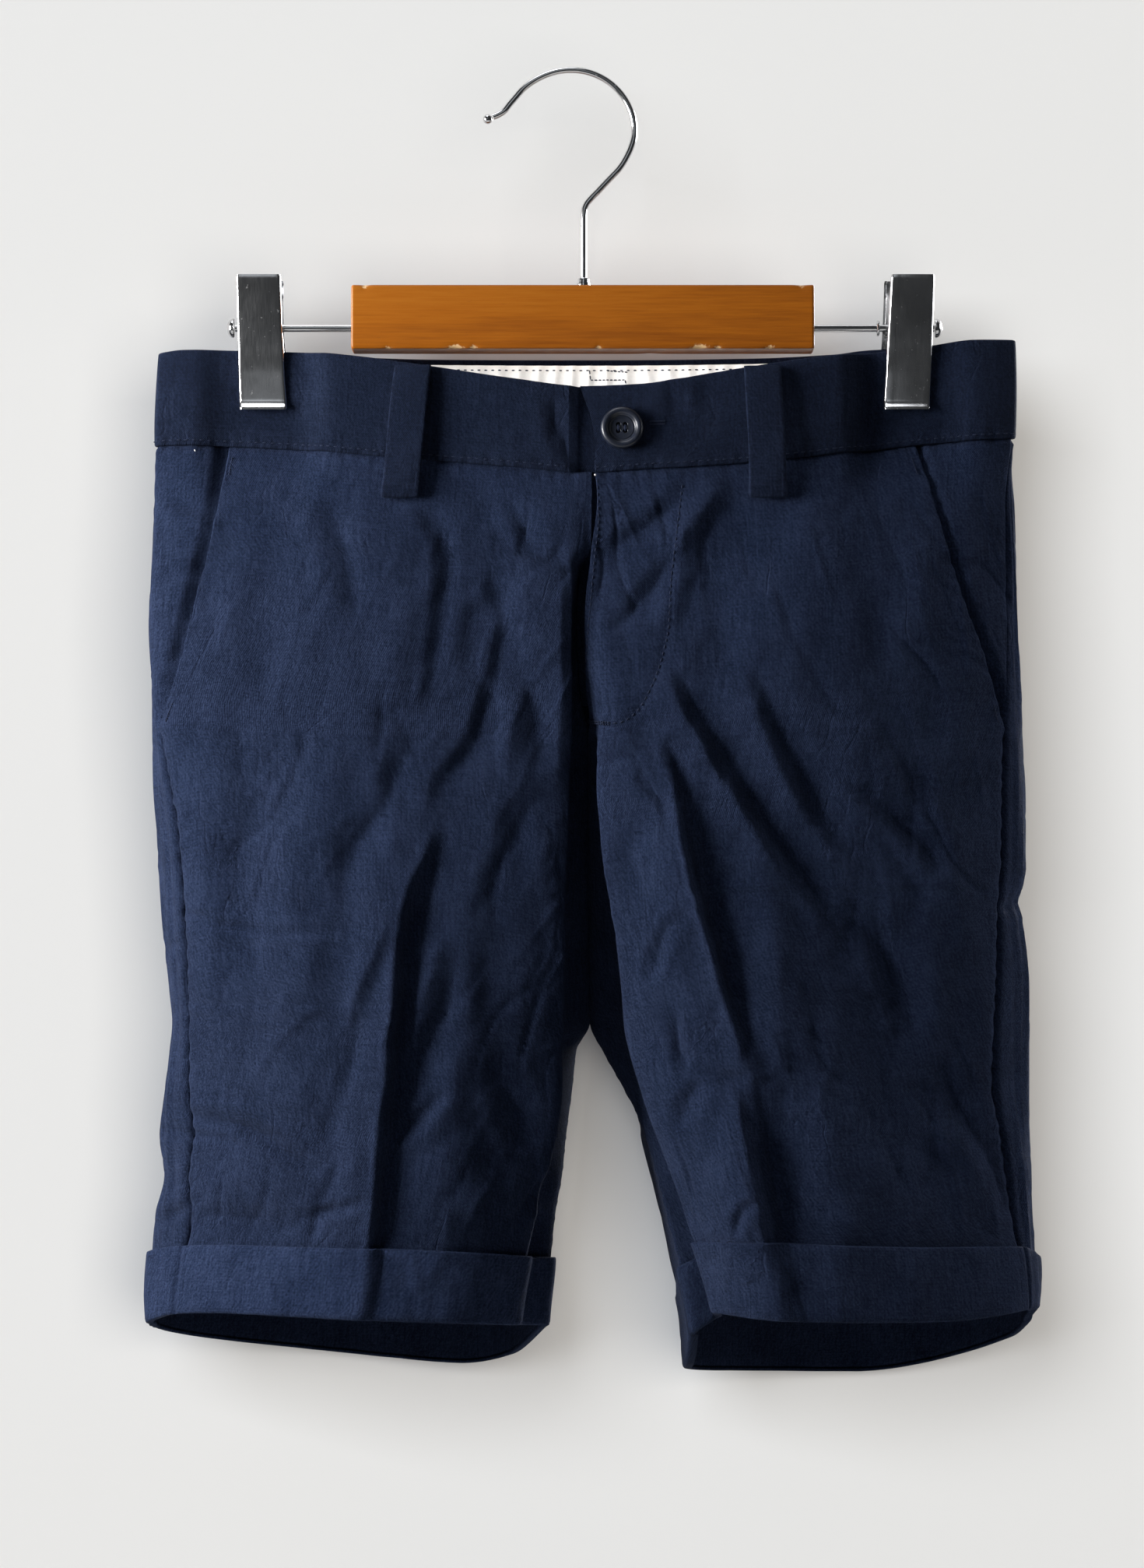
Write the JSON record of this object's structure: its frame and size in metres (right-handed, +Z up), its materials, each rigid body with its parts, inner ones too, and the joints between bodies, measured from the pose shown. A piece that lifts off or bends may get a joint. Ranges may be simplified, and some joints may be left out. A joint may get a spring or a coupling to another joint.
{
  "type": "bermuda shorts on clip hanger",
  "caption": "Bermuda shorts with turn-ups, slant pockets, belt loops and a buttoned fly, hanging by the waistband from a wooden clip hanger with a metal hook.",
  "frame": {"origin": "where the inside of the hook's bend bears on a rail", "axes": "+Z up, +X to the right and +Y to the back as seen from the front of the garment"},
  "size_m": [0.3415, 0.0875, 0.5075],
  "materials": {
    "twill": "navy cotton twill, matt with a faint nap",
    "lining": "off-white plain cotton",
    "button": "dark navy moulded resin, half gloss",
    "wood": "varnished light brown beech",
    "chrome": "polished nickel plate"
  },
  "bodies": {
    "root": {"front_left": "twill", "front_right": "twill", "back_left": "twill", "back_right": "twill", "pocket_facing_left": "twill", "pocket_facing_right": "twill", "cuff_left": "twill", "cuff_right": "twill", "fly_underlap": "twill", "waistband_left": "twill", "waistband_right": "twill", "waistband_back": "twill", "waistband_lining": "lining", "belt_loop_front_left": "twill", "belt_loop_front_right": "twill", "belt_loop_back_left": "twill", "belt_loop_back_right": "twill", "belt_loop_back_centre": "twill", "button": "button", "hook": "chrome", "hook_ball": "chrome", "ferrule": "chrome", "hanger_bar": "wood", "rod_left": "chrome", "rod_right": "chrome", "rod_cap_left": "chrome", "rod_cap_right": "chrome", "rod_washer": "chrome", "clip_front_left": "chrome", "clip_back_left": "chrome", "clip_spring_left": "chrome", "clip_front_right": "chrome", "clip_back_right": "chrome", "clip_spring_right": "chrome"}
  },
  "joints": []
}
